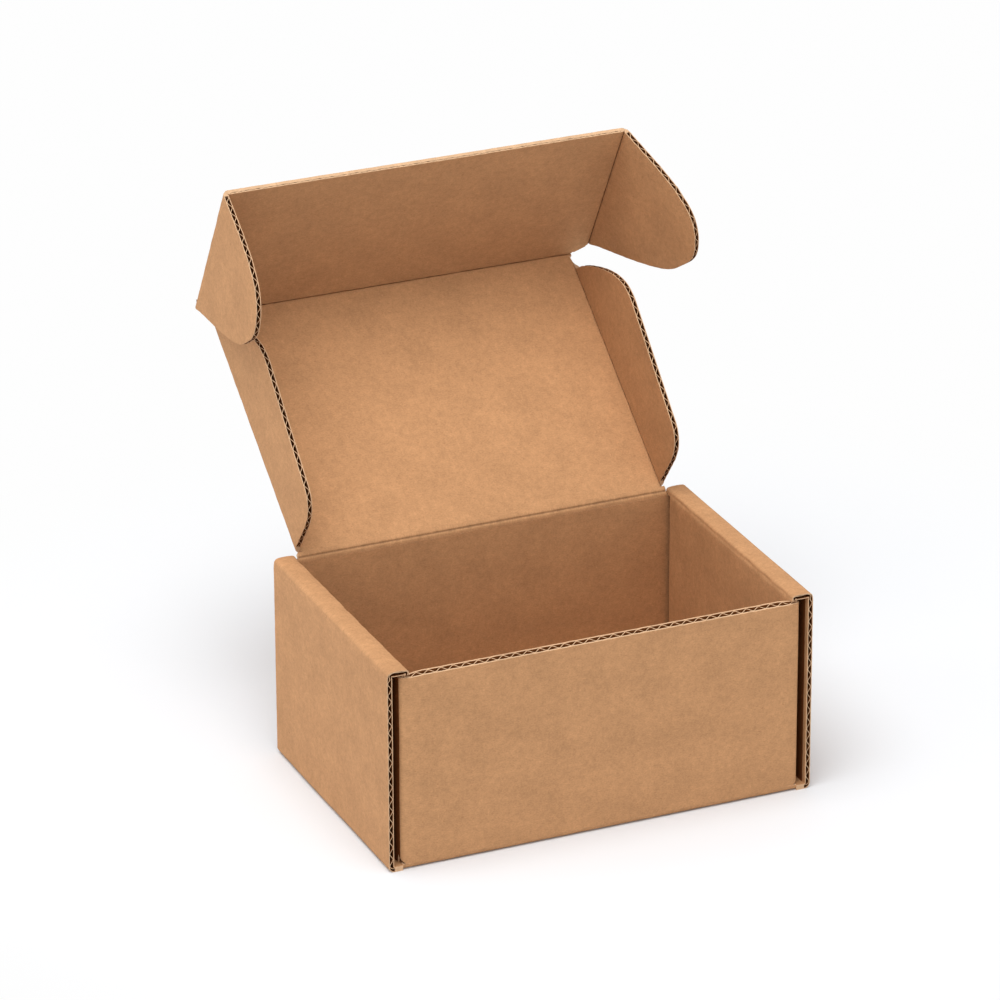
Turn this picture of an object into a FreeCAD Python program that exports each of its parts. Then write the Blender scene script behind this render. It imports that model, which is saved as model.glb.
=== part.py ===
import FreeCAD, Part
import math
import os

# Corrugated roll-end mailer box, open. Millimetres, +Z up, +Y towards the hinged back wall,
# origin at the middle of the bottom face of the tray.
os.makedirs("parts", exist_ok=True)

# Room inside for goods: 8 x 5.5 x 4 inches
room_x = 203.2
room_y = 139.7
room_z = 101.6

# B-flute board
board = 2.7
liner = 0.4
medium = 0.42
flute_pitch = 6.5
flute_depth = 2.6

# Clear distance between boards that move past each other
clear = 0.35
# Slit between boards of the tray that lie on each other
slit = 0.15
# A crease that moves: both boards are crushed thin beside it. One ends in a bead round the
# crease line, the other stops just short of that bead.
bead = 0.6
bead_gap = 0.3
neck = 1.2

# Folds of the tray: radius on the inside of the bend
bend_floor = 0.4
bend_ledge = 0.7
bend_corner = 0.8

# How far the flaps reach
corner_flap = 62.0
flap_foot = 5.0
tuck_length = 95.2
lid_lean_deg = 52.5
tuck_fold_deg = 82.0
ear_fold_left_deg = 87.5
ear_fold_right_deg = 74.0
wing_fold_deg = 90.0

# Locking tabs of the turned-in side panels
tab_length = 26.0
tab_place_y = 34.0
tab_clear = 0.3

# Derived sizes
ear_gap = board + 2 * clear + 0.1
ledge = 3 * board + ear_gap + slit
width = room_x + 2 * ledge
depth = room_y + 2 * board
height = room_z + 2 * board
half_w = width / 2
half_d = depth / 2
wall_top = height - board - slit
flap_out = half_w - board - ear_gap
crease_end = bead + bead_gap
crush = board / 2 - bead
hinge_y = half_d - board / 2
hinge_z = height - board / 2
hinge_half = room_x / 2 - 2.6
back_top = hinge_z - neck - crush
lid_length = depth + clear
wing_x = room_x / 2 - clear - board / 2
ear_x = half_w - board - ear_gap / 2


def vec(x, y, z):
    return FreeCAD.Vector(x, y, z)


def face_of(start, steps, lift):
    """A flat face from a start point and steps: two numbers for a line, four for an arc."""
    edges = []
    here = start
    for step in steps:
        there = step[-2:]
        if len(step) == 2:
            edges.append(Part.makeLine(lift(*here), lift(*there)))
        else:
            edges.append(Part.Arc(lift(*here), lift(*step[:2]), lift(*there)).toShape())
        here = there
    if abs(here[0] - start[0]) + abs(here[1] - start[1]) > 1e-6:
        edges.append(Part.makeLine(lift(*here), lift(*start)))
    return Part.Face(Part.Wire(edges))


def corner(cx, cy, radius, angle):
    """The middle point of a quarter bend about cx, cy, at the angle in degrees."""
    turn = math.radians(angle)
    return cx + radius * math.cos(turn), cy + radius * math.sin(turn)


def mirrored(shape):
    return shape.mirror(vec(0, 0, 0), vec(1, 0, 0))


def flute_section(side):
    """One void between medium and liner, as (along, across) points; side picks the liner."""
    base = flute_pitch / 2 - medium
    tip = 0.3
    low = -board / 2 + liner
    high = board / 2 - liner - medium * 0.8
    points = [(-base, low), (base, low), (tip, high), (-tip, high)]
    return [(a, b * side) for a, b in points]


def voids_along(points, inward, across, inset):
    """Voids along a cut edge: edge points, their inward directions and the board's own normal."""
    length = [0.0]
    for a, b in zip(points, points[1:]):
        length.append(length[-1] + (b - a).Length)
    run = length[-1] - 2 * inset
    count = int(run / (flute_pitch / 2)) - 1
    start = inset + (run - (count - 1) * flute_pitch / 2) / 2
    out = []
    for k in range(count):
        at = start + k * flute_pitch / 2
        i = max(j for j in range(len(length) - 1) if length[j] <= at)
        share = (at - length[i]) / (length[i + 1] - length[i])
        place = points[i] + (points[i + 1] - points[i]) * share
        inner = inward[i] + (inward[i + 1] - inward[i]) * share
        inner.normalize()
        along = inner.cross(across)
        along.normalize()
        # half of each void belongs to one liner, half to the other, in turn
        side = 1 if k % 2 else -1
        base = place - inner * 0.6
        ring = [base + along * (a * 0.97) + across * b for a, b in flute_section(side)]
        shape = Part.Face(Part.makePolygon(ring + [ring[0]]))
        out.append(shape.extrude(inner * (flute_depth + 0.6)))
    return out


def straight_voids(a, b, inner, across, inset):
    return voids_along([a, b], [inner, inner], across, inset)


def cut_all(shape, tools):
    return shape.cut(Part.makeCompound(tools)) if tools else shape


# What is cut from a board drawn flat, in the plane z = 0, beside the crease line through at.
# inward points from the crease into the board.
def crease_cut(at, inward, half_run, beaded):
    run = inward.cross(vec(0, 0, 1))
    top = board / 2 + 0.4
    start = neck if beaded else neck + bead_gap
    end = start + crush + 0.4

    def lift(d, n):
        return at + inward * d - run * half_run + vec(0, 0, n)

    if beaded:
        steps = [(end, -top), (start, -bead), (0, -bead), (-bead, 0, 0, bead), (start, bead), (end, top), (-3, top)]
        return [face_of((-3, -top), steps, lift).extrude(run * (2 * half_run))]
    out = []
    for side in (-1, 1):
        steps = [(end, side * top), (start, side * bead), (0, side * bead), (0, side * top)]
        out.append(face_of((0, side * top), steps, lift).extrude(run * (2 * half_run)))
    return out


# TRAY: one sheet, folded. Section of a side, from the floor over the ledge and down inside.
def side_section():
    x0 = -half_w
    ro = bend_floor + board
    rt = bend_ledge + board
    xi = x0 + ledge
    steps = [
        (x0 + ro, 0),
        corner(x0 + ro, ro, ro, 225) + (x0, ro),
        (x0, height - rt),
        corner(x0 + rt, height - rt, rt, 135) + (x0 + rt, height),
        (xi - rt, height),
        corner(xi - rt, height - rt, rt, 45) + (xi, height - rt),
        (xi, board + slit),
        (xi - board, board + slit),
        (xi - board, height - rt),
        corner(xi - rt, height - rt, bend_ledge, 45) + (xi - rt, height - board),
        (x0 + rt, height - board),
        corner(x0 + rt, height - rt, bend_ledge, 135) + (x0 + board, height - rt),
        (x0 + board, ro),
        corner(x0 + ro, ro, bend_floor, 225) + (x0 + ro, board),
        (x0 + 24, board),
        (x0 + 24, 0),
    ]
    face = face_of((x0 + 24, 0), steps, lambda a, b: vec(a, -half_d, b))
    return face.extrude(vec(0, depth, 0))


# The turned-in panel is shorter than the ledge: it stands between front and back wall.
def side_wall():
    side = side_section()
    xi = -half_w + ledge
    tall = height - board - bend_ledge - slit
    gone = board + slit
    box = Part.makeBox(board + 1, gone, tall, vec(xi - board - 0.5, -half_d - 0.001, board + 0.01))
    back = Part.makeBox(board + 1, gone, tall, vec(xi - board - 0.5, half_d - gone + 0.001, board + 0.01))
    side = side.cut(Part.makeCompound([box, back]))
    return side


def tabs():
    xi = -half_w + ledge
    out = []
    for y in (-tab_place_y, tab_place_y):
        out.append(
            Part.makeBox(board, tab_length, board + 1, vec(xi - board, y - tab_length / 2, slit))
        )
    return out


def tab_slots():
    xi = -half_w + ledge
    out = []
    for y in (-tab_place_y, tab_place_y):
        out.append(
            Part.makeBox(
                board + 2 * tab_clear,
                tab_length + 2 * tab_clear,
                board + 0.02,
                vec(xi - board - tab_clear, y - tab_length / 2 - tab_clear, -0.01),
            )
        )
    return out


def wall_section(sign, top):
    """Front or back wall with its fold from the floor, across the tray."""
    ro = bend_floor + board
    y0 = half_d
    steps = [
        (y0 - ro, 0),
        corner(y0 - ro, ro, ro, 315) + (y0, ro),
        (y0, top),
        (y0 - board, top),
        (y0 - board, ro),
        corner(y0 - ro, ro, bend_floor, 315) + (y0 - ro, board),
        (y0 - 20, board),
        (y0 - 20, 0),
    ]
    xf = flap_out - bend_corner - board
    face = face_of((y0 - 20, 0), steps, lambda a, b: vec(-xf, sign * a, b))
    return face.extrude(vec(2 * xf, 0, 0))


def corner_flap_at(sign, top):
    """The left end of a wall, curled round into the flap that lies between the side panels."""
    rc = bend_corner + board
    xo = -flap_out
    y0 = half_d
    steps = [
        corner(xo + rc, y0 - rc, rc, 135) + (xo, y0 - rc),
        (xo, y0 - corner_flap),
        (xo + board, y0 - corner_flap),
        (xo + board, y0 - rc),
        corner(xo + rc, y0 - rc, bend_corner, 135) + (xo + rc, y0 - board),
    ]
    face = face_of((xo + rc, y0), steps, lambda a, b: vec(a, sign * b, board + slit))
    flap = face.extrude(vec(0, 0, top - board - slit))
    # the lower corner of the curl is cut away at a slant, clear of the fold to the floor
    foot = [
        vec(xo - 1, sign * (y0 + 1), board),
        vec(xo + rc + 0.01, sign * (y0 + 1), board),
        vec(xo + rc + 0.01, sign * (y0 + 1), board + 1.2),
        vec(xo - 1, sign * (y0 + 1), board + flap_foot),
    ]
    wedge = Part.Face(Part.makePolygon(foot + [foot[0]])).extrude(vec(0, -sign * (rc + 1.5), 0))
    return flap.cut(wedge)


def make_tray():
    ro = bend_floor + board
    floor = Part.makeBox(width - 2 * ro, depth - 1.6, board, vec(-half_w + ro, -half_d + 0.8, 0))
    left = side_wall()
    solid = floor.multiFuse(
        [
            left,
            mirrored(left),
            wall_section(-1, wall_top),
            wall_section(1, back_top),
            corner_flap_at(-1, wall_top),
            mirrored(corner_flap_at(-1, wall_top)),
            corner_flap_at(1, back_top),
            mirrored(corner_flap_at(1, back_top)),
        ]
    )
    slots = tab_slots()
    solid = solid.cut(Part.makeCompound(slots + [mirrored(s) for s in slots]))
    # the back wall goes on up to the lid's crease, drawn flat: y runs down from the crease
    lip = Part.makeBox(
        2 * hinge_half, neck + crush + bead + 1.2, board, vec(-hinge_half, -bead - 0.2, -board / 2)
    )
    lip = cut_all(lip, crease_cut(vec(0, 0, 0), vec(0, 1, 0), hinge_half + 1, True))
    lip.Placement = frame(hinge, axis_x, vec(0, 0, -1), vec(0, 1, 0))
    marks = tabs()
    solid = solid.multiFuse([lip] + marks + [mirrored(s) for s in marks])
    solid = solid.removeSplitter()
    tools = tray_voids()
    return cut_all(solid, tools)


def tray_voids():
    xf = flap_out - bend_corner - board
    down = vec(0, 0, -1)
    y_mid = -half_d + board / 2
    top = straight_voids(vec(-xf, y_mid, wall_top), vec(xf, y_mid, wall_top), down, vec(0, 1, 0), 0.5)
    out = list(top)
    x_mid = -half_w + board / 2
    low = bend_floor + board
    high = height - bend_ledge - board
    for sign in (-1, 1):
        y = sign * half_d
        inner = vec(0, -sign, 0)
        run = straight_voids(vec(x_mid, y, low), vec(x_mid, y, high), inner, vec(1, 0, 0), 0.2)
        # the ledge is pressed flat: one long void shows in its end
        x0 = -half_w + bend_ledge + board
        x1 = -half_w + ledge - bend_ledge - board
        z = height - board / 2
        ring = [vec(x0 - 0.6, y, z), vec(x0 + 0.3, y, z + 0.75), vec(x1 - 0.3, y, z + 0.75), vec(x1 + 0.6, y, z)]
        ring = [p - inner * 0.5 for p in ring]
        void = Part.Face(Part.makePolygon(ring + [ring[0]])).extrude(inner * (flute_depth + 0.5))
        run.append(void)
        out += run + [mirrored(v) for v in run]
    return out


# LID GROUP: every flap is drawn flat (s along the lid from the hinge, x across, n inward).
def frame(origin, ex, ey, ez):
    m = FreeCAD.Matrix()
    m.A11, m.A21, m.A31 = ex.x, ex.y, ex.z
    m.A12, m.A22, m.A32 = ey.x, ey.y, ey.z
    m.A13, m.A23, m.A33 = ez.x, ez.y, ez.z
    m.A14, m.A24, m.A34 = origin.x, origin.y, origin.z
    return FreeCAD.Placement(m)


lean = math.radians(lid_lean_deg)
fold = math.radians(tuck_fold_deg)
axis_x = vec(1, 0, 0)
lid_along = vec(0, math.sin(lean), math.cos(lean))
lid_inner = vec(0, -math.cos(lean), math.sin(lean))
hinge = vec(0, hinge_y, hinge_z)
tuck_root = hinge + lid_along * lid_length
tuck_along = lid_along * math.cos(fold) + lid_inner * math.sin(fold)
tuck_inner = lid_inner * math.cos(fold) - lid_along * math.sin(fold)


def plate(face):
    return face.extrude(vec(0, 0, board))


def flat_lift(a, b):
    return vec(a, b, -board / 2)


def make_lid():
    hx = wing_x + bead + 0.2
    s0 = crease_end
    s1 = lid_length + bead + 0.2
    notch = 5.5
    vee = 3.8
    steps = [
        (hx - vee, s0),
        (hx, s0 + vee),
        (hx, s1 - notch),
        corner(hx, s1, notch, 225) + (hx - notch, s1),
        (-hx + notch, s1),
        corner(-hx, s1, notch, 315) + (-hx, s1 - notch),
        (-hx, s0 + vee),
        (-hx + vee, s0),
    ]
    flat = plate(face_of((-hx + vee, s0), steps, flat_lift))
    tools = crease_cut(vec(0, 0, 0), vec(0, 1, 0), hx + 2, False)
    tools += crease_cut(vec(0, lid_length, 0), vec(0, -1, 0), hx + 2, True)
    flat = cut_all(flat, tools)
    for side in (-1, 1):
        tools = crease_cut(vec(side * wing_x, lid_length / 2, 0), vec(-side, 0, 0), lid_length, True)
        flat = cut_all(flat, tools)
    flat.Placement = frame(hinge, axis_x, lid_along, axis_x.cross(lid_along))
    return flat


def smooth(points):
    """Points on a smooth curve through the given ones, close enough together for straight edges."""
    curve = Part.BSplineCurve()
    curve.interpolate([vec(a, b, 0) for a, b in points])
    first, last = curve.FirstParameter, curve.LastParameter
    n = 4 * len(points)
    out = [curve.value(first + (last - first) * k / n) for k in range(n + 1)]
    return [(p.x, p.y) for p in out]


# Free outline of a wing: near the hinge (distance along the lid, distance from the wing's crease),
# then at the head (distance back from the lid's far crease, distance from the wing's crease).
# Heads and ears slope away from each other, so that a wing swings out past the folded ear.
wing_foot = [(4.6, 24.0), (6.2, 31.5), (9.6, 36.6), (14.5, 40.0)]
wing_head = [
    (58.65, 49.0), (51.65, 47.9), (45.15, 44.9), (37.65, 39.2), (29.65, 31.0), (20.65, 19.6),
    (14.15, 9.8), (10.45, crease_end),
]
# Free outline of an ear: (distance back from the tuck panel's edge, distance from the ear's crease)
ear_edge = [
    (81.0, 7.5), (64.8, 36.5), (50.8, 55.6), (37.8, 64.6), (29.0, 68.2), (21.2, 67.9),
    (12.2, 64.2), (5.2, 56.5), (1.0, 43.0),
]
ear_foot = 6.4


def wing_outline():
    head = [(lid_length - back, out) for back, out in wing_head]
    return [(wing_foot[0][0], crease_end)] + smooth(wing_foot) + smooth(head)


def ear_outline():
    edge = [(tuck_length - back, out) for back, out in ear_edge]
    return [(ear_foot, crease_end)] + smooth(edge) + [(tuck_length, 28.0), (tuck_length, crease_end)]


def make_flap(outline):
    """A flap in its own plane: x is the distance from the crease, y runs along the crease."""
    ring = [vec(b, a, -board / 2) for a, b in outline]
    face = Part.Face(Part.makePolygon(ring + [ring[0]]))
    flat = plate(face)

    flat = cut_all(flat, crease_cut(vec(0, 0, 0), vec(1, 0, 0), 2 * lid_length, False))
    path = [(b, a) for a, b in outline]
    # walked with the flap on the left, so that inward points into the board
    pts = [vec(a, b, 0) for a, b in path]
    inward = []
    for i in range(len(pts)):
        d = pts[min(i + 1, len(pts) - 1)] - pts[max(i - 1, 0)]
        inward.append(vec(-d.y, d.x, 0).normalize())
    tools = voids_along(pts, inward, vec(0, 0, 1), 2.4)
    return cut_all(flat, tools)


def make_wing(side):
    flat = make_flap(wing_outline())
    turn = math.radians(wing_fold_deg)
    out = axis_x * (side * math.cos(turn)) + lid_inner * math.sin(turn)
    place = hinge + axis_x * (side * wing_x)
    flat.Placement = frame(place, out, lid_along, out.cross(lid_along))
    return flat


def make_ear(side, angle):
    flat = make_flap(ear_outline())
    turn = math.radians(angle)
    out = axis_x * (side * math.cos(turn)) + tuck_inner * math.sin(turn)
    place = tuck_root + axis_x * (side * ear_x)
    flat.Placement = frame(place, out, tuck_along, out.cross(tuck_along))
    return flat


def make_tuck():
    hx = ear_x + bead + 0.2
    b0 = crease_end
    b1 = tuck_length
    shoulder = wing_x - 3.5
    steps = [
        (shoulder, b0),
        (hx - 1.0, ear_foot - 0.8),
        (hx, ear_foot),
        (hx, b1),
        (-hx, b1),
        (-hx, ear_foot),
        (-hx + 1.0, ear_foot - 0.8),
        (-shoulder, b0),
    ]
    flat = plate(face_of((-shoulder, b0), steps, flat_lift))
    flat = cut_all(flat, crease_cut(vec(0, 0, 0), vec(0, 1, 0), hx + 2, False))
    for side in (-1, 1):
        tools = crease_cut(vec(side * ear_x, tuck_length / 2, 0), vec(-side, 0, 0), tuck_length, True)
        flat = cut_all(flat, tools)
    inner = vec(0, -1, 0)
    tools = straight_voids(vec(-hx + 3.5, b1, 0), vec(hx - 3.5, b1, 0), inner, vec(0, 0, 1), 0.3)
    flat = cut_all(flat, tools)
    flat.Placement = frame(tuck_root, axis_x, tuck_along, axis_x.cross(tuck_along))
    return flat


shapes = {
    "tray": make_tray(),
    "lid": make_lid(),
    "lid_wing_left": make_wing(-1),
    "lid_wing_right": make_wing(1),
    "tuck_panel": make_tuck(),
    "tuck_ear_left": make_ear(-1, ear_fold_left_deg),
    "tuck_ear_right": make_ear(1, ear_fold_right_deg),
}
for name, shape in shapes.items():
    solids = shape.Solids
    one = solids[0] if len(solids) == 1 else shape
    one.exportStep("parts/" + name + ".step")
    box = one.BoundBox
    print(name, len(solids), one.isValid(), round(one.Volume), len(one.Faces), box)
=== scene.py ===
import bpy
import bmesh
import math
import numpy as np
from mathutils import Matrix, Vector


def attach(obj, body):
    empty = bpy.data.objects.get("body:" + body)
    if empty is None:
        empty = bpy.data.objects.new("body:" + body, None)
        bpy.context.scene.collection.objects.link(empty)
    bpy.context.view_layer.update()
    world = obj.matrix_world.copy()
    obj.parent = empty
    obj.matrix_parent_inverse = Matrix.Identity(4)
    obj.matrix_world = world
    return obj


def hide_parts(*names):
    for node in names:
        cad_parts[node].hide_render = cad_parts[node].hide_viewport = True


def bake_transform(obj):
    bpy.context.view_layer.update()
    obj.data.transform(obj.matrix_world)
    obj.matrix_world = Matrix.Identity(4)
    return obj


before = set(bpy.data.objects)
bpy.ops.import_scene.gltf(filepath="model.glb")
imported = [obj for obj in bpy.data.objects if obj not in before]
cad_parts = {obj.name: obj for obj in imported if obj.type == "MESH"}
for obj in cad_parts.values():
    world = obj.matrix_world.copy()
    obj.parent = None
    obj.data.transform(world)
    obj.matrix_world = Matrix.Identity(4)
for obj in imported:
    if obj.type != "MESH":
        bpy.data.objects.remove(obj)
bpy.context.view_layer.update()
scene = bpy.context.scene

# Driving sizes of the box, as in the frame's part, in millimetres and degrees
MM = 0.001
ROOM_X = 203.2
ROOM_Y = 139.7
ROOM_Z = 101.6
BOARD = 2.7
LINER = 0.4
MEDIUM = 0.25
PITCH = 6.5
CLEAR = 0.35
SLIT = 0.15
CORNER_FLAP = 62.0
TUCK = 95.2
TAB_PLACE = 34.0
TAB_HALF = 13.0
TAB_CLEAR = 0.3
LEAN = math.radians(52.5)
FOLD = math.radians(82.0)
EAR_FOLD = {"left": 87.5, "right": 74.0}
SIDES = ((-1, "left"), (1, "right"))

# Sizes that follow from them
MID = BOARD / 2
EAR_GAP = BOARD + 2 * CLEAR + 0.1
LEDGE = 3 * BOARD + EAR_GAP + SLIT
HALF_W = ROOM_X / 2 + LEDGE
HALF_D = ROOM_Y / 2 + BOARD
HEIGHT = ROOM_Z + 2 * BOARD
WALL_TOP = HEIGHT - BOARD - SLIT
FLAP_OUT = HALF_W - BOARD - EAR_GAP
HINGE_Y = HALF_D - MID
HINGE_Z = HEIGHT - MID
HINGE_HALF = ROOM_X / 2 - 2.6
LID = 2 * HALF_D + CLEAR
WING_X = ROOM_X / 2 - CLEAR - MID
EAR_X = HALF_W - BOARD - EAR_GAP / 2

# Outer radii of the tray's folds: at the floor, at both edges of the ledge, and at the corners
FLOOR_BEND = 3.1
LEDGE_BEND = 2.55
INNER_BEND = 1.85
CORNER_BEND = 2.7
FOLD_HALF = 106.0

# Half the width of the soft strip at a crease, where its middle lies on the paper's pattern, and
# where the board starts beside a notched crease
STRIP = 2.3
STRIP_U = 40.0
BOARD_START = 0.9

# How deep the medium is made along an open edge, its steps in a wave, and how thin it is pressed
MEDIUM_DEPTH = 5.0
WAVE_STEPS = 12
PRESSED = 0.55

X = np.array((1.0, 0.0, 0.0))
Y = np.array((0.0, 1.0, 0.0))
Z = np.array((0.0, 0.0, 1.0))
LID_ALONG = Y * math.sin(LEAN) + Z * math.cos(LEAN)
LID_INNER = -Y * math.cos(LEAN) + Z * math.sin(LEAN)
HINGE = Y * HINGE_Y + Z * HINGE_Z
TUCK_ROOT = HINGE + LID_ALONG * LID
TUCK_ALONG = LID_ALONG * math.cos(FOLD) + LID_INNER * math.sin(FOLD)
TUCK_INNER = LID_INNER * math.cos(FOLD) - LID_ALONG * math.sin(FOLD)

# Material places in each mesh: paper faces, cut edges, the flutes in painted shade, creases with a painted
# shade line
SKIN, EDGE, FLUTE_PAINTED_SHADE, CREASE_WITH_PAINTED_SHADE = 0, 1, 2, 3
KRAFT = (0.59, 0.312, 0.148)
CUT_EDGE = (0.69, 0.44, 0.26)
# the flutes' kraft brown darkened with painted shade, standing in for the shadow inside the flutes
FLUTE_INSIDE_PAINTED_SHADE = (0.2, 0.066, 0.02)
FLOOR = (0.724, 0.736, 0.756)


def unevenness(p, q, seed, size):
    """A gentle, fixed unevenness between about -1 and 1 over the board, in waves of about the given size."""
    rng = np.random.RandomState(seed)
    out = 0.0
    for k in range(5):
        a, b = rng.uniform(-1, 1, 2)
        norm = math.hypot(a, b)
        f = 2 * math.pi / size * rng.uniform(0.6, 1.5)
        out = out + np.sin((a * p + b * q) * f / norm + rng.uniform(0, 6.28))
    return out / 3.0


def bell(distance, width):
    return np.exp(-((distance / width) ** 2))


class Build:
    """Collects slabs of paper into one mesh."""

    def __init__(self):
        self.verts, self.faces, self.mats, self.uvs = [], [], [], []
        self.count = 0

    def slab(self, low, high, uv, low_mat, high_mat, edge):
        """low and high are grids (n, m, 3), uv is a grid (n, m, 2). A material is one place or one a face."""
        n, m = low.shape[:2]
        off = self.count
        self.verts += [low.reshape(-1, 3), high.reshape(-1, 3)]
        self.uvs += [uv.reshape(-1, 2), uv.reshape(-1, 2)]
        self.count += 2 * n * m
        lo = off + np.arange(n * m).reshape(n, m)
        hi = lo + n * m

        def quads(a, b, c, d, mat):
            f = np.stack([a, b, c, d], axis=-1).reshape(-1, 4)
            self.faces.append(f)
            self.mats.append(np.broadcast_to(np.ravel(mat), (len(f),)))

        quads(hi[:-1, :-1], hi[1:, :-1], hi[1:, 1:], hi[:-1, 1:], high_mat)
        quads(lo[:-1, :-1], lo[:-1, 1:], lo[1:, 1:], lo[1:, :-1], low_mat)
        quads(lo[:-1, 0], lo[1:, 0], hi[1:, 0], hi[:-1, 0], edge)
        quads(lo[1:, -1], lo[:-1, -1], hi[:-1, -1], hi[1:, -1], edge)
        quads(lo[0, 1:], lo[0, :-1], hi[0, :-1], hi[0, 1:], edge)
        quads(lo[-1, :-1], lo[-1, 1:], hi[-1, 1:], hi[-1, :-1], edge)

    def wavy(self, base, along, normal, low, high, slope=None):
        """The medium in waves over the grid base, which swing between the offsets low and high.

        along is the distance along the edge, and slope how far a slanted cut lowers each row.
        """
        turn = 2 * math.pi * along / PITCH
        zigzag = 2 * np.abs(((along / PITCH) % 1.0) * 2 - 1) - 1
        shape = np.clip(1.12 * (np.cos(turn) + zigzag) / 2, -1, 1)
        swing = (high - low) / 2 - MEDIUM / 2
        wave = (low + high) / 2 + swing * shape
        # the paper is thicker, measured across the board, where it slopes
        half = MEDIUM / 2 * (1.0 + 0.5 * np.abs(np.sin(turn)))
        sides = []
        for offset in (wave - half, wave + half):
            side = base + normal[:, None, :] * offset[:, None, None]
            if slope is not None:
                side = side - slope[None] * (offset / BOARD + 0.5)[:, None, None]
            sides.append(side)
        uv = np.stack([along[:, None] + 0 * base[..., 0], 0 * base[..., 0]], axis=-1) * MM
        # the medium wears the dark flute colour, its kraft brown darkened with painted shade
        self.slab(sides[0], sides[1], uv, FLUTE_PAINTED_SHADE, FLUTE_PAINTED_SHADE, EDGE)

    def edge_medium(self, at, ps, edge, way, lift, low, high, slope=None):
        """Waves along a straight open edge, made inwards (way 1 or -1) from the places edge."""
        along = np.arange(ps[0], ps[-1], PITCH / WAVE_STEPS)
        mid, normal, across = at(along)
        depth = np.array([0.08, 0.6, MEDIUM_DEPTH]) * way
        q = np.interp(along, ps, edge)[:, None] + depth[None, :]
        raised = normal * np.interp(along, ps, lift)[:, None]
        base = mid[:, None, :] + q[..., None] * across + raised[:, None, :]
        self.wavy(base, along, normal, np.interp(along, ps, low), np.interp(along, ps, high), slope)

    def rim_medium(self, at, rim, low, high):
        """Waves along the free outline rim of a flap, which is a list of (p, q)."""
        pts = np.array(rim, float)
        step = np.concatenate([[0], np.cumsum(np.linalg.norm(np.diff(pts, axis=0), axis=1))])
        along = np.arange(0, step[-1], PITCH / WAVE_STEPS)
        p = np.interp(along, step, pts[:, 0])
        q = np.interp(along, step, pts[:, 1])
        tp, tq = np.gradient(p), np.gradient(q)
        size = np.hypot(tp, tq)
        mid, normal, across = at(p)
        out = np.cross(across, normal[0])
        inwards = (-tq / size)[:, None] * out + (tp / size)[:, None] * across
        depth = np.array([0.1, 0.6, MEDIUM_DEPTH])
        base = mid[:, None, :] + depth[None, :, None] * inwards[:, None, :] + q[:, None, None] * across
        flat_line = np.ones(len(along))
        self.wavy(base, along, normal, low * flat_line, high * flat_line)

    def sheet(self, at, ps, q0, q1, seed=1, warp=0.0, cuts=7, low_liner=LINER, high_liner=LINER,
              crush=None, press=None, bump=None, rim=None, slant=0.0, shade=None):
        """Two liners and the wavy medium between them.

        at gives mid-line points, normals and the direction across for the distances ps along the sheet,
        which reaches across from q0 to q1. crush is the share of the thickness that is left, press how
        flat the medium is pressed, bump(p, q) what raises the surface. rim is the outline of a flap with
        a free edge all round. slant lowers the outer face at q1, and shade(p, f) is true where the
        outer face gets painted shade, the dark flute colour, for the shadow deep in a slot.
        """
        mid, normal, across = at(ps)
        close_to_ends = [0.015, 0.05, 0.95, 0.985]
        f = np.unique(np.concatenate([np.linspace(0, 1, cuts), close_to_ends]))
        q = q0[:, None] + f[None, :] * (q1 - q0)[:, None]
        p = np.repeat(ps[:, None], len(f), axis=1)
        fade = np.clip(np.minimum(q - q0[:, None], q1[:, None] - q) / 25.0, 0, 1)
        body = warp * unevenness(p, q, seed, 90.0) * (0.35 + 0.65 * fade)
        if bump is not None:
            body = body + bump(p, q)
        half = MID * (np.ones(len(ps)) if crush is None else crush)
        uv = np.stack([p, q], axis=-1) * MM

        # the cut itself is a little rough, and only the cut
        rough = 0.05 * np.sin(ps * 7.1 + seed) + 0.04 * np.sin(ps * 17.3 + 2 * seed)
        spread = 2 * f - 1
        at_cut = np.sign(spread) * np.clip(np.abs(spread) * 50 - 49, 0, 1)
        base = mid[:, None, :] + (q + rough[:, None] * at_cut[None, :])[..., None] * across
        # a slanted cut lowers the outer face's end below the inner one's
        end = slant * np.clip(f * 20 - 19, 0, 1)

        def face(offset):
            drop = end[None, :, None] * across * (offset / BOARD + 0.5)[:, None, None]
            return base - drop + normal[:, None, :] * (offset[:, None] + body)[..., None]

        # painted shade: where shade(p, f) holds, the outer face takes the dark flute colour
        skin_or_painted_shade = SKIN
        if shade is not None:
            in_painted_shade = np.broadcast_to(shade(ps[:-1, None], f[None, :-1]), (len(ps) - 1, len(f) - 1))
            skin_or_painted_shade = np.where(in_painted_shade, FLUTE_PAINTED_SHADE, SKIN)
        low = -half + low_liner
        high = half - high_liner
        self.slab(face(high), face(half), uv, FLUTE_PAINTED_SHADE, skin_or_painted_shade, EDGE)
        self.slab(face(-half), face(low), uv, SKIN, FLUTE_PAINTED_SHADE, EDGE)
        # the medium is made along the open edges, and painted shade, the dark flute colour on the liners'
        # inner faces, hides the rest
        if rim is not None:
            self.rim_medium(at, rim, -MID + low_liner, MID - high_liner)
            return
        if press is not None:
            high = high - (high - low - PRESSED) * press
        self.edge_medium(at, ps, q0, 1, body[:, 0], low, high)
        slope = np.array([1.0, 0.9, 0.0])[:, None] * slant * across
        self.edge_medium(at, ps, q1, -1, body[:, -1], low, high, slope)

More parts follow.
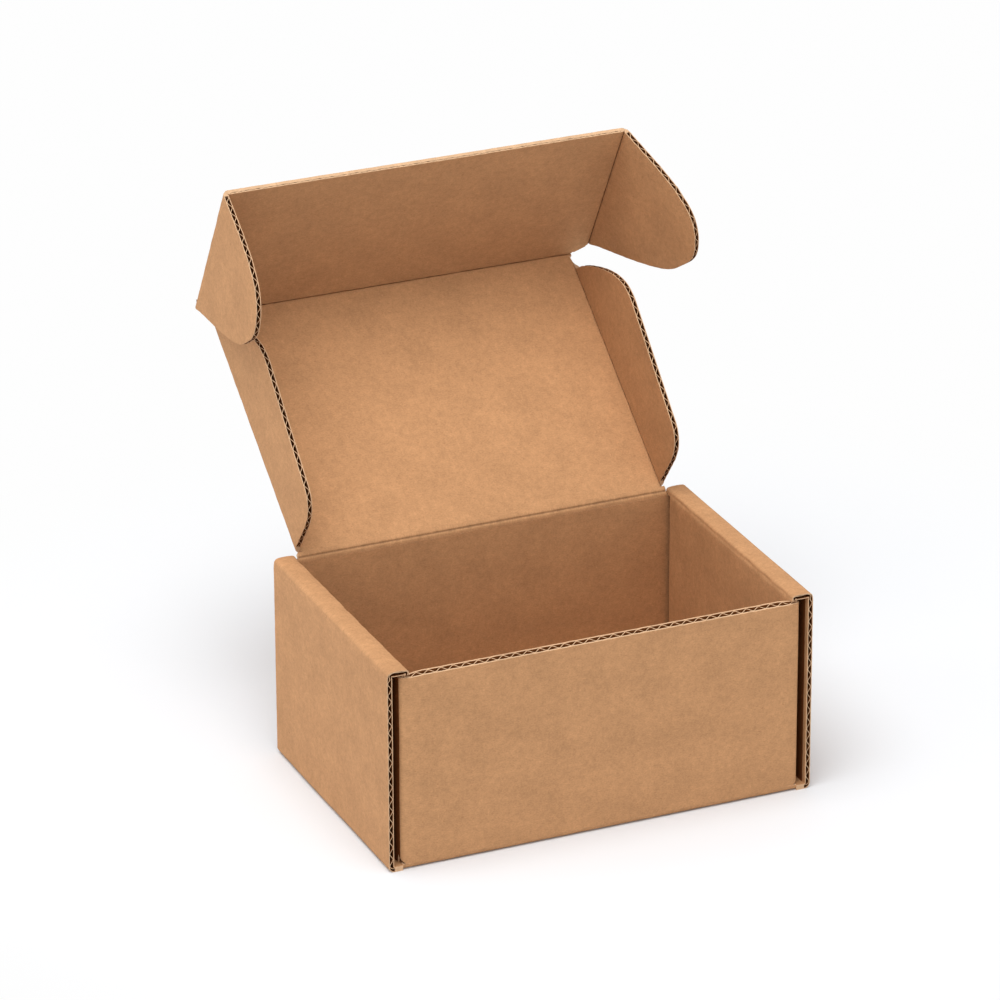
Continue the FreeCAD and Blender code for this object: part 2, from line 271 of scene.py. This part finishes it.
    def strip(self, centre, run, a_dir, a_normal, b_dir, b_normal, span_a, span_b, seed):
        """The crushed crease between two boards: a along a_dir, b along b_dir from the centre line."""
        steps = np.array([0.07, 0.13, 0.2, 0.3, 0.45, 0.6, 0.8, 1]) * STRIP
        s = np.concatenate([-steps[::-1], [0.0], steps])
        length = max(abs(v) for v in span_a + span_b) * 2
        f = np.linspace(0, 1, int(length / 1.6) + 2)
        t = (s + STRIP) / (2 * STRIP)
        start = span_a[0] + (span_b[0] - span_a[0]) * t
        stop = span_a[1] + (span_b[1] - span_a[1]) * t
        q = start[:, None] + f[None, :] * (stop - start)[:, None]
        leg_a = np.where(s < 0, -s, 0.0)
        leg_b = np.where(s > 0, s, 0.0)
        rounding = 0.2 * bell(s, 0.9)[:, None]
        mid = centre + leg_a[:, None] * a_dir + leg_b[:, None] * b_dir + (a_dir + b_dir) * rounding
        # the normal turns evenly from one board to the other
        share = t * t * (3 - 2 * t)
        angle = math.acos(float(a_normal @ b_normal))
        turn_a = np.sin((1 - share) * angle) / math.sin(angle)
        turn_b = np.sin(share * angle) / math.sin(angle)
        normal = turn_a[:, None] * a_normal + turn_b[:, None] * b_normal
        near = bell(s, 1.3)
        groove = bell(s, 0.42)
        ripple = 0.09 * unevenness(q * 4.0, s[:, None] * 6 + 0 * q, seed, 30.0)
        half = MID - (0.26 * near + 0.42 * groove)[:, None] + ripple * np.clip(near * 1.5, 0, 1)[:, None]
        half = np.minimum(half, MID)[..., None]
        base = mid[:, None, :] + q[..., None] * run
        uv = np.stack([s[:, None] + 0 * q + STRIP_U, q], axis=-1) * MM
        out = normal[:, None, :] * half
        # the strip wears the crease material with its painted shade line
        self.slab(base - out, base + out, uv, CREASE_WITH_PAINTED_SHADE, CREASE_WITH_PAINTED_SHADE, EDGE)

    def finish(self, name, body, materials, replaces=()):
        """Makes the mesh, and rides it on a body if one is named."""
        verts = np.concatenate(self.verts) * MM
        faces = np.concatenate(self.faces)
        me = bpy.data.meshes.new(name)
        me.from_pydata(verts.tolist(), [], faces.tolist())
        for m in materials:
            me.materials.append(m)
        me.polygons.foreach_set("material_index", np.concatenate(self.mats).astype(np.int32))
        layer = me.uv_layers.new(name="sheet")
        index = np.empty(len(me.loops), np.int32)
        me.loops.foreach_get("vertex_index", index)
        layer.data.foreach_set("uv", np.concatenate(self.uvs)[index].astype(np.float32).ravel())
        bm = bmesh.new()
        bm.from_mesh(me)
        bmesh.ops.recalc_face_normals(bm, faces=bm.faces)
        bm.to_mesh(me)
        bm.free()
        me.polygons.foreach_set("use_smooth", np.ones(len(me.polygons), bool))
        me.set_sharp_from_angle(angle=math.radians(40))
        ob = bpy.data.objects.new(name, me)
        scene.collection.objects.link(ob)
        if body:
            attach(ob, body)
        if replaces:
            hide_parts(*replaces)
        return ob


def run_path(origin, ex, ez, segs):
    """A path of lines ("line", length) and arcs ("arc", radius, degrees), positive turning towards ez."""
    ey = np.cross(ez, ex)
    starts = []
    a = b = phi = dist = 0.0
    for kind, size, *deg in segs:
        starts.append((dist, a, b, phi))
        if kind == "line":
            a += size * math.cos(phi)
            b += size * math.sin(phi)
            dist += size
        else:
            turn = math.radians(deg[0])
            sgn = math.copysign(1.0, turn)
            new = phi + turn
            a += size * sgn * (math.sin(new) - math.sin(phi))
            b -= size * sgn * (math.cos(new) - math.cos(phi))
            phi = new
            dist += size * abs(turn)
    total = dist

    def at(ps):
        pts = np.zeros((len(ps), 3))
        nor = np.zeros((len(ps), 3))
        for i, (seg, (d0, a0, b0, f0)) in enumerate(zip(segs, starts)):
            d1 = starts[i + 1][0] if i + 1 < len(starts) else math.inf
            lo = -math.inf if i == 0 else d0
            mask = (ps >= lo) & (ps < d1)
            t = ps[mask] - d0
            if seg[0] == "line":
                aa = a0 + t * math.cos(f0)
                bb = b0 + t * math.sin(f0)
                ff = np.full(len(t), f0)
            else:
                sgn = math.copysign(1.0, seg[2])
                ff = f0 + sgn * t / seg[1]
                aa = a0 + seg[1] * sgn * (np.sin(ff) - math.sin(f0))
                bb = b0 - seg[1] * sgn * (np.cos(ff) - math.cos(f0))
            pts[mask] = origin + aa[:, None] * ex + bb[:, None] * ez
            nor[mask] = -np.sin(ff)[:, None] * ex + np.cos(ff)[:, None] * ez
        return pts, nor, ey

    return at, total


def flat(origin, ex, ey):
    """A straight path along ex, with ey across."""
    at, _ = run_path(origin, ex, np.cross(ex, ey), [("line", 1.0)])
    return at


def bend(radius, degrees=90):
    """An arc of the mid-line, from the outer radius of the fold."""
    return ("arc", radius - MID, degrees)


def bend_length(radius):
    return (radius - MID) * math.pi / 2


def samples(p0, p1, extra=(), pace=3.0):
    """Places from p0 to p1 at about the given pace, and the extra ones."""
    n = int((p1 - p0) / pace) + 2
    ps = np.linspace(p0, p1, n)
    if len(extra):
        ps = np.unique(np.concatenate([ps, np.array(extra, float)]))
    return ps


def both_ways(values):
    """The values with their mirror images, in rising order."""
    return [-v for v in values[::-1]] + list(values)


def catmull(points, steps=10):
    """A smooth curve through the points."""
    pts = np.array(points, float)
    ext = np.vstack([2 * pts[0] - pts[1], pts, 2 * pts[-1] - pts[-2]])
    out = []
    for i in range(1, len(ext) - 2):
        p0, p1, p2, p3 = ext[i - 1 : i + 3]
        for k in range(steps):
            t = k / steps
            square = (2 * p0 - 5 * p1 + 4 * p2 - p3) * t * t
            cube = (3 * p1 - p0 - 3 * p2 + p3) * t ** 3
            out.append(0.5 * (2 * p1 + (p2 - p0) * t + square + cube))
    out.append(ext[-2])
    return np.array(out)


def edge_at(curve, values):
    """Place of a free edge along the crease at each distance from it."""
    order = np.argsort(curve[:, 1])
    return np.interp(values, curve[order, 1], curve[order, 0])


# MATERIALS
def node(tree, kind, inputs=None, **props):
    n = tree.nodes.new(kind)
    for k, v in props.items():
        setattr(n, k, v)
    for k, v in (inputs or {}).items():
        if isinstance(v, bpy.types.NodeSocket):
            tree.links.new(v, n.inputs[k])
        else:
            n.inputs[k].default_value = v
    return n


def math_node(tree, op, a, b=0.0):
    return node(tree, "ShaderNodeMath", {0: a, 1: b}, operation=op).outputs[0]


def mix_color(tree, mode, fac, a, b):
    props = {"data_type": "RGBA", "blend_type": mode, "clamp_result": True}
    return node(tree, "ShaderNodeMix", {0: fac, 6: a, 7: b}, **props).outputs[2]


def noise(tree, vec, scale, detail, rough, distort):
    inputs = {"Vector": vec, "Scale": scale, "Detail": detail, "Roughness": rough, "Distortion": distort}
    return node(tree, "ShaderNodeTexNoise", inputs).outputs[0]


def stretched(tree, uv, scale):
    return node(tree, "ShaderNodeMapping", {"Vector": uv, "Scale": scale}).outputs[0]


def ramp(tree, fac, stops):
    n = tree.nodes.new("ShaderNodeValToRGB")
    tree.links.new(fac, n.inputs[0])
    for e, (pos, value) in zip(n.color_ramp.elements, stops):
        e.position = pos
        e.color = (value, value, value, 1.0)
    return n.outputs[0]


def tint(color, shares):
    return tuple(min(1.0, c * share) for c, share in zip(color, shares)) + (1.0,)


def kraft(name, color, flute=1.0, grain=1.0, line=False, shine=0.12):
    """Kraft liner: cloudy tone, fine fibres, dark and light specks, faint flute ridges, and with line a
    painted shade down a crease's middle.
    """
    m = bpy.data.materials.new(name)
    m.use_nodes = True
    tree = m.node_tree
    bsdf = tree.nodes["Principled BSDF"]
    uv = node(tree, "ShaderNodeUVMap", uv_map="sheet").outputs[0]
    fibres_way = stretched(tree, uv, (1.0, 1.5, 1.0))
    cloud = noise(tree, uv, 55.0, 3.0, 0.55, 0.3)
    mottle = noise(tree, uv, 300.0, 4.0, 0.62, 0.1)
    fibre = noise(tree, fibres_way, 900.0, 5.0, 0.7, 0.2)
    dark_speck = noise(tree, fibres_way, 620.0, 2.0, 0.5, 0.3)
    light_speck = noise(tree, stretched(tree, uv, (3.2, 1.0, 1.0)), 300.0, 2.0, 0.5, 0.4)
    c = mix_color(tree, "MULTIPLY", 1.0, color + (1.0,), ramp(tree, cloud, [(0.32, 0.88), (0.68, 1.0)]))
    c = mix_color(tree, "MULTIPLY", 1.0, c, ramp(tree, mottle, [(0.32, 0.85), (0.66, 1.0)]))
    c = mix_color(tree, "MULTIPLY", 0.9 * grain, c, ramp(tree, fibre, [(0.32, 0.76), (0.64, 1.0)]))
    dark = math_node(tree, "MULTIPLY", ramp(tree, dark_speck, [(0.27, 1.0), (0.34, 0.0)]), 0.38)
    c = mix_color(tree, "MIX", dark, c, tint(color, (0.5, 0.42, 0.36)))
    light = math_node(tree, "MULTIPLY", ramp(tree, light_speck, [(0.68, 0.0), (0.75, 1.0)]), 0.22)
    c = mix_color(tree, "MIX", light, c, tint(color, (1.3, 1.32, 1.4)))
    along = node(tree, "ShaderNodeSeparateXYZ", {0: uv}).outputs[0]
    if line:
        # painted shade: a dark line down the middle of a crease, where its score groove is shaded, its
        # distance counted in millimetres
        off = math_node(tree, "ABSOLUTE", math_node(tree, "SUBTRACT", along, STRIP_U * MM))
        wander = math_node(tree, "MULTIPLY", math_node(tree, "SUBTRACT", mottle, 0.5), 0.6 * MM)
        distance = math_node(tree, "MULTIPLY", math_node(tree, "ADD", off, wander), 1 / MM)
        c = mix_color(tree, "MULTIPLY", 1.0, c, ramp(tree, distance, [(0.15, 0.62), (0.62, 1.0)]))
    tree.links.new(c, bsdf.inputs["Base Color"])
    bsdf.inputs["Roughness"].default_value = 0.82
    bsdf.inputs["Specular IOR Level"].default_value = shine
    # faint flute ridges across the board, and the relief of the fibres
    ridge = math_node(tree, "COSINE", math_node(tree, "MULTIPLY", along, 2 * math.pi / (PITCH * MM)))
    height = math_node(tree, "MULTIPLY", ridge, 0.016 * flute)
    height = math_node(tree, "ADD", height, math_node(tree, "MULTIPLY", fibre, 0.16))
    height = math_node(tree, "ADD", height, math_node(tree, "MULTIPLY", mottle, 0.22))
    bump = node(tree, "ShaderNodeBump", {"Height": height, "Strength": 0.5, "Distance": 0.6 * MM})
    tree.links.new(bump.outputs[0], bsdf.inputs["Normal"])
    return m


# CAMERA, LIGHT, FLOOR
def add_camera():
    """The camera that was fitted to the photo: its axes and place in metres."""
    data = bpy.data.cameras.new("camera")
    data.lens = 222.14
    data.sensor_width = 36.0
    data.clip_start = 0.1
    data.clip_end = 50.0
    cam = bpy.data.objects.new("camera", data)
    scene.collection.objects.link(cam)
    right = Vector((0.915299, -0.402760, -0.003510))
    up = Vector((0.165868, 0.368976, 0.914518))
    back = Vector((-0.367037, -0.837640, 0.404529))
    m = Matrix((right, up, back)).transposed().to_4x4()
    m.translation = Vector((-1.12960, -2.52704, 1.37199))
    cam.matrix_world = m
    scene.camera = cam


def add_area(name, place, target, size, power):
    data = bpy.data.lights.new(name, "AREA")
    data.shape = "DISK"
    data.size = size
    data.energy = power
    ob = bpy.data.objects.new(name, data)
    ob.location = place
    way = Vector(target) - Vector(place)
    ob.rotation_euler = way.to_track_quat("-Z", "Y").to_euler()
    scene.collection.objects.link(ob)


def floor_material():
    """Grey paper beside the box, which turns plain white for the camera further out."""
    middle = (0.05, 0.05, 0.0)
    grey_until, white_from = 0.17, 0.42
    m = bpy.data.materials.new("floor")
    m.use_nodes = True
    tree = m.node_tree
    bsdf = tree.nodes["Principled BSDF"]
    bsdf.inputs["Base Color"].default_value = FLOOR + (1.0,)
    bsdf.inputs["Roughness"].default_value = 0.95
    bsdf.inputs["Specular IOR Level"].default_value = 0.0
    place = node(tree, "ShaderNodeTexCoord").outputs["Object"]
    from_middle = node(tree, "ShaderNodeVectorMath", {0: place, 1: middle}, operation="SUBTRACT").outputs[0]
    far = node(tree, "ShaderNodeVectorMath", {0: from_middle}, operation="LENGTH").outputs["Value"]
    limits = {0: far, 1: grey_until, 2: white_from}
    whiteness = node(tree, "ShaderNodeMapRange", limits, interpolation_type="SMOOTHSTEP").outputs[0]
    rays = node(tree, "ShaderNodeLightPath").outputs
    seen = math_node(tree, "MAXIMUM", rays["Is Camera Ray"], rays["Is Glossy Ray"])
    seen = math_node(tree, "MAXIMUM", seen, rays["Is Transmission Ray"])
    share = math_node(tree, "MULTIPLY", whiteness, seen)
    white = node(tree, "ShaderNodeEmission", {0: (0.99, 0.99, 0.99, 1.0), 1: 1.0}).outputs[0]
    mixer = node(tree, "ShaderNodeMixShader", {0: share, 1: bsdf.outputs[0], 2: white})
    tree.links.new(mixer.outputs[0], tree.nodes["Material Output"].inputs["Surface"])
    return m


def add_studio():
    reach = 14
    corners = [(-reach, -reach, 0), (reach, -reach, 0), (reach, reach, 0), (-reach, reach, 0)]
    me = bpy.data.meshes.new("floor")
    me.from_pydata(corners, [], [(0, 1, 2, 3)])
    ob = bpy.data.objects.new("floor", me)
    scene.collection.objects.link(ob)
    me.materials.append(floor_material())
    world = bpy.data.worlds.new("world")
    scene.world = world
    world.use_nodes = True
    world.node_tree.nodes["Background"].inputs[0].default_value = (1.0, 1.0, 1.0, 1.0)
    world.node_tree.nodes["Background"].inputs[1].default_value = 0.68
    add_area("key", (-0.65, -0.55, 2.7), (0.0, 0.0, 0.08), 2.4, 72.0)
    add_area("side", (-2.6, 0.9, 0.5), (0.0, 0.0, 0.1), 1.2, 13.0)
    add_area("front", (0.5, -3.0, 0.7), (0.0, 0.0, 0.1), 1.5, 7.0)


add_camera()
add_studio()
paper = kraft("kraft_liner", KRAFT)
cut = kraft("kraft_cut_edge", CUT_EDGE, flute=0.0, grain=0.5, shine=0.1)
# painted shade: the dark inside of the flutes, also laid on faces deep in the slots
flute_painted_shade = kraft("kraft_flute_inside_painted_shade", FLUTE_INSIDE_PAINTED_SHADE, flute=0.0, grain=0.8, shine=0.0)
# the crease's kraft, with painted shade down its score line
crease_with_painted_shade = kraft("kraft_crease_painted_shade", KRAFT, flute=0.0, line=True)
mats = [paper, cut, flute_painted_shade, crease_with_painted_shade]


# TRAY
def side_sheet(b, side):
    """A side panel: up from the floor, over the ledge and down inside, with its two tabs."""
    start = X * side * (HALF_W - FLOOR_BEND) + Z * MID
    up = HEIGHT - FLOOR_BEND - LEDGE_BEND
    over = LEDGE - LEDGE_BEND - INNER_BEND
    down = HEIGHT - INNER_BEND - BOARD - SLIT
    segs = [bend(FLOOR_BEND), ("line", up), bend(LEDGE_BEND), ("line", over), bend(INNER_BEND)]
    segs.append(("line", down))
    at, total = run_path(start, X * side, Z, segs)
    top0 = bend_length(FLOOR_BEND) + up
    top1 = top0 + bend_length(LEDGE_BEND)
    top2 = top1 + over
    top3 = top2 + bend_length(INNER_BEND)
    outer_fold = (top0 + top1) / 2
    inner_fold = (top2 + top3) / 2
    # past this place the sheet is the inner panel, which fits between the front and the back wall
    step = top3 + 1.4
    floor_fold = list(np.arange(0.3, 3.4, 0.3))
    outer_rows = list(np.arange(top0 - 2.5, top1 + 2.7, 0.16))
    inner_rows = list(np.arange(top2 - 2.7, top3 + 2.7, 0.16))
    ps = samples(0.0, total, [step - 0.02, step + 0.02] + floor_fold + outer_rows + inner_rows)
    reach = np.where(ps > step, HALF_D - BOARD - SLIT, HALF_D)
    # the board is pressed thin at both folds of the ledge, and its medium lies flat between them
    crush = 1.0 - 0.17 * np.clip(bell(ps - outer_fold, 1.6) + bell(ps - inner_fold, 1.6), 0, 1)
    press = np.clip((ps - top0 + 1.5) / 2.0, 0, 1) * np.clip((top3 + 2.0 - ps) / 2.0, 0, 1)

    def dents(p, q):
        # score marks beside the folds, and flutes crushed in scallops along the inner one
        near_end = np.clip((HALF_D - np.abs(q)) / 8.0, 0.15, 1)
        out = 0.0
        for k, line in enumerate((top0 - 0.5, top1 + 0.7, top3 + 0.6)):
            shift = 0.45 * unevenness(q, 0 * q, 11 + k + side, 26.0)
            depth = 0.08 + 0.07 * unevenness(q * 1.6, 0 * q, 17 + k + side, 22.0)
            out = out + depth * near_end * bell(p - line - shift, 0.8)
        wave = unevenness(q, 0 * q, 27 + side, 13.0)
        depth = 0.33 + 0.2 * wave
        return out + depth * near_end * bell(p - inner_fold - 0.4 * wave, 2.0)

    def painted_slot_shade(p, f):
        # painted shade: deep in the slots the outer panel's face gets the dark flute colour; its ends, where
        # light reaches, and the inner panel keep the paper colour
        return (p < step) & (f > 0.018) & (f < 0.975)

    # the inner panel stops short of the back wall
    rear = np.where(ps > step, 2.2, 0.0)
    low = -reach + (rear if side < 0 else 0)
    high = reach - (rear if side > 0 else 0)
    b.sheet(at, ps, low, high, seed=3 + side, warp=0.12, cuts=47, crush=crush, press=press, bump=dents,
            shade=painted_slot_shade)
    for y in (-TAB_PLACE, TAB_PLACE):
        root = X * side * (HALF_W - LEDGE + MID) + Z * (BOARD + SLIT) + Y * (y * side)
        tab = flat(root, -Z, -Y * side)
        depth = samples(0.0, BOARD, pace=0.4)
        half = TAB_HALF - np.clip(depth - 1.8, 0, 1) * 1.2
        b.sheet(tab, depth, -half, half, seed=9)


def wall_sheet(b, back):
    """The front or the back wall between its two corner flaps."""
    way = 1 if back else -1
    flap = CORNER_FLAP - CORNER_BEND
    run = 2 * (FLAP_OUT - CORNER_BEND)
    curl = bend_length(CORNER_BEND)
    corner = bend(CORNER_BEND, 90 * way)
    start = X * (-FLAP_OUT + MID) + Y * way * (HALF_D - CORNER_FLAP)
    segs = [("line", flap), corner, ("line", run), corner, ("line", flap)]
    at, total = run_path(start, Y * way, X * way, segs)
    mid = total / 2
    fold = np.arange(flap - 9.0, flap + curl + 6.0, 0.3)
    ends = [mid + v for v in both_ways([95.0, HINGE_HALF - 0.05, HINGE_HALF, 101.0])]
    ps = samples(0.0, total, list(fold) + list(total - fold) + ends)
    out = np.abs(ps - mid)
    near = np.minimum(ps, total - ps)
    # the foot is notched at the corner, clear of the floor's folds
    foot = np.interp(near, [flap - 1.55, flap, flap + curl], [7.0, 6.0, 3.3])
    low = np.where(near > flap - 1.55, foot, BOARD + SLIT)
    low = np.where(near > flap + curl, FLOOR_BEND, low)
    if back:
        high = np.where(out < HINGE_HALF - 0.03, HINGE_Z - STRIP, HINGE_Z - 1.95)
    else:
        high = WALL_TOP - 0.5 * np.clip((out - 95.0) / 6.0, 0, 1) * np.clip((near - flap + 9) / 6.0, 0, 1)

    def painted_slot_shade(p, f):
        # painted shade: the corner flaps, which stand between the side panel's boards, get the dark flute
        # colour on their outer faces
        return np.minimum(p, total - p) < flap + 0.1

    crush = 1.0 - 0.42 * bell(near - flap - curl / 2, 4.5)
    shared = {"warp": 0.12, "crush": crush, "shade": painted_slot_shade}
    if back:
        b.sheet(at, ps, low, high, seed=22, **shared)
    else:
        b.sheet(at, ps, low, high, seed=21, low_liner=0.5, high_liner=0.5, slant=1.7, **shared)


def floor_plate(b):
    """The floor with its four slots, and its folds up to the front and the back wall."""
    slot_x = [HALF_W - LEDGE - TAB_CLEAR, HALF_W - LEDGE + BOARD + TAB_CLEAR]
    slot_y = [TAB_PLACE - TAB_HALF - TAB_CLEAR, TAB_PLACE + TAB_HALF + TAB_CLEAR]
    xs = both_ways(slot_x + [FOLD_HALF, HALF_W - FLOOR_BEND])
    ys = both_ways(slot_y + [HALF_D - FLOOR_BEND, HALF_D])
    n = len(ys)
    cells = n - 1
    # the plate ends where the folds begin, and the four slots are open
    inside = np.ones((cells, cells), bool)
    inside[1:-1, 0] = False
    inside[1:-1, -1] = False
    for i in (2, 4):
        for j in (2, 4):
            inside[i, j] = False
    grid = np.array([[x, y] for x in xs for y in ys])
    off = b.count
    low = np.c_[grid, np.zeros(len(grid))]
    high = np.c_[grid, np.full(len(grid), BOARD)]
    b.verts += [low, high]
    b.uvs += [grid * MM, grid * MM]
    b.count += 2 * len(grid)
    faces, mat = [], []
    top = len(grid)

    def add(f, m):
        faces.append([off + k for k in f])
        mat.append(m)

    for i in range(cells):
        for j in range(cells):
            if not inside[i, j]:
                continue
            a = i * n + j
            c = a + n
            d = c + 1
            e = a + 1
            add([a, e, d, c], SKIN)
            add([a + top, c + top, d + top, e + top], SKIN)
            for k, l, ii, jj in ((a, c, i, j - 1), (c, d, i + 1, j), (d, e, i, j + 1), (e, a, i - 1, j)):
                if not (0 <= ii < cells and 0 <= jj < cells and inside[ii, jj]):
                    add([k, l, l + top, k + top], EDGE)
    b.faces.append(np.array(faces))
    b.mats.append(np.array(mat))
    # folds from the floor up to the front and the back wall
    steps = 10
    for side in (-1, 1):
        at, total = run_path(Y * side * (HALF_D - FLOOR_BEND) + Z * MID, Y * side, Z, [bend(FLOOR_BEND)])
        ps = np.linspace(0, total, steps)
        mid, normal, ey = at(ps)
        q = np.linspace(-FOLD_HALF, FOLD_HALF, 60)
        base = mid[:, None, :] + q[None, :, None] * ey
        bulge = np.sin(np.linspace(0, math.pi, steps))
        wobble = 0.05 * unevenness(q * 3, q * 0, 4, 40.0)[None, :] * bulge[:, None]
        uv = np.stack([q[None, :] + 0 * ps[:, None], ps[:, None] + 0 * q[None, :]], axis=-1) * MM
        inner = base - normal[:, None, :] * (MID - wobble)[..., None]
        b.slab(inner, base + normal[:, None, :] * MID, uv, SKIN, SKIN, EDGE)


b = Build()
side_sheet(b, -1)
side_sheet(b, 1)
b.finish("tray_side_walls", "tray", mats)
b = Build()
wall_sheet(b, False)
b.finish("tray_front_wall", "tray", mats)
b = Build()
wall_sheet(b, True)
b.finish("tray_back_wall", "tray", mats)
b = Build()
floor_plate(b)
b.finish("tray_floor", "tray", mats, ("tray",))


# LID GROUP
# Free outlines: a wing's foot as (from the lid's crease, from its own crease), and the heads of the wing
# and the ear as (back from the far edge, from its own crease)
WING_REACH = 49.0
WING_SHOULDER = 58.65
WING_FOOT = [(4.6, 24.0), (6.2, 31.5), (9.6, 36.6), (14.5, 40.0)]
WING_HEAD = [
    (WING_SHOULDER, WING_REACH), (51.65, 47.9), (45.15, 44.9), (37.65, 39.2), (29.65, 31.0), (20.65, 19.6),
    (14.15, 9.8), (10.45, BOARD_START),
]
EAR_EDGE = [
    (83.4, 7.5), (65.4, 36.5), (50.8, 55.6), (37.8, 64.6), (29.0, 68.2), (21.2, 67.9), (12.2, 64.2),
    (5.2, 56.5), (1.0, 43.0),
]
EAR_FOOT = 7.0
EAR_STRAIGHT = 28.0


def lid_board():
    b = Build()
    reach = WING_X - STRIP
    shoulder = 96.9
    ps = samples(-reach, reach, both_ways([96.0, 97.0]))
    low = np.maximum(STRIP, BOARD_START + np.abs(ps) - shoulder)
    high = np.full(len(ps), LID - STRIP)
    b.sheet(flat(HINGE, X, LID_ALONG), ps, low, high, seed=31, warp=0.22, cuts=9)
    b.finish("lid_board", "lid", mats, ("lid",))


def tuck_board():
    b = Build()
    reach = EAR_X - STRIP
    shoulder = 98.6
    ps = samples(-reach, reach, both_ways([shoulder, 101.1]))
    low = np.maximum(STRIP, BOARD_START + (np.abs(ps) - shoulder) * 4.7 / 8.5)
    high = np.full(len(ps), TUCK)
    b.sheet(flat(TUCK_ROOT, X, TUCK_ALONG), ps, low, high, seed=51, warp=0.22, cuts=9, low_liner=1.75)
    b.finish("tuck_board", "tuck_panel", mats, ("tuck_panel",))


def flap_samples(reach):
    """Distances from a flap's crease, closer together towards its rounded tip."""
    close = [reach - v for v in (0.06, 0.12, 0.2, 0.3, 0.45, 0.65, 0.9, 1.2)]
    return samples(STRIP, reach - 0.03, close, 0.8)


def flap_board(at, ps, low, high, seed, name, body):
    b = Build()
    high = np.maximum(high, low + 0.3)
    rim = [(STRIP, low[0])] + list(zip(ps, low)) + list(zip(ps[::-1], high[::-1]))
    b.sheet(at, ps, low, high, seed=seed, rim=rim)
    b.finish(name, body, mats, (body,))


def wing_board(side, name, body):
    ps = flap_samples(WING_REACH)
    foot = catmull(WING_FOOT)
    foot = np.vstack([[WING_FOOT[0][0], 0.0], foot, [LID - WING_SHOULDER, WING_REACH + 0.05]])
    head = catmull([(LID - back, out) for back, out in WING_HEAD])
    at = flat(HINGE + X * side * WING_X, LID_INNER, LID_ALONG)
    flap_board(at, ps, edge_at(foot, ps), edge_at(head, ps), 41 + side, name, body)


def ear_frame(side, degrees):
    """An ear's root, the way it reaches and its inner normal."""
    turn = math.radians(degrees)
    out = X * side * math.cos(turn) + TUCK_INNER * math.sin(turn)
    normal = TUCK_INNER * math.cos(turn) - X * side * math.sin(turn)
    return TUCK_ROOT + X * side * EAR_X, out, normal


def ear_board(side, degrees, name, body):
    place, out, _ = ear_frame(side, degrees)
    curve = catmull([(TUCK - back, d) for back, d in EAR_EDGE])
    tip = int(np.argmax(curve[:, 1]))
    low_part = np.vstack([[EAR_FOOT, BOARD_START], curve[: tip + 1]])
    high_part = np.vstack([curve[tip:], [TUCK, EAR_STRAIGHT]])
    ps = flap_samples(curve[tip, 1])
    low = edge_at(low_part, ps)
    high = np.where(ps < EAR_STRAIGHT, TUCK, edge_at(high_part, ps))
    flap_board(flat(place, out, TUCK_ALONG), ps, low, high, 61 + side, name, body)


def crease(name, centre, run, a_dir, a_normal, b_dir, b_normal, span_a, span_b, seed):
    """The soft strip between boards a and b, whose two edges lie along one board each; it rides on no body.
    """
    b = Build()
    b.strip(centre, run, a_dir, a_normal, b_dir, b_normal, span_a, span_b, seed)
    ob = b.finish(name, None, mats)
    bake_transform(ob)


lid_board()
for side, word in SIDES:
    wing_board(side, "wing_" + word + "_board", "lid_wing_" + word)
tuck_board()
for side, word in SIDES:
    ear_board(side, EAR_FOLD[word], "ear_" + word + "_board", "tuck_ear_" + word)

crease("crease_lid", HINGE, X, -Z, Y, LID_ALONG, -LID_INNER,
       (-101.2, 101.2), (-100.6, 100.6), 71)
crease("crease_tuck", TUCK_ROOT, X, -LID_ALONG, LID_INNER, TUCK_ALONG, TUCK_INNER,
       (-99.3, 99.3), (-99.7, 99.7), 72)
for side, word in SIDES:
    crease("crease_wing_" + word, HINGE + X * side * WING_X, LID_ALONG,
           -X * side, LID_INNER, LID_INNER, -X * side, (2.2, 143.2), (4.6, 134.4), 73 + side)
for side, word in SIDES:
    place, out, normal = ear_frame(side, EAR_FOLD[word])
    crease("crease_ear_" + word, place, TUCK_ALONG,
           -X * side, TUCK_INNER, out, normal, (5.9, TUCK), (8.0, TUCK), 76 + side)

scene.view_settings.view_transform = "Standard"
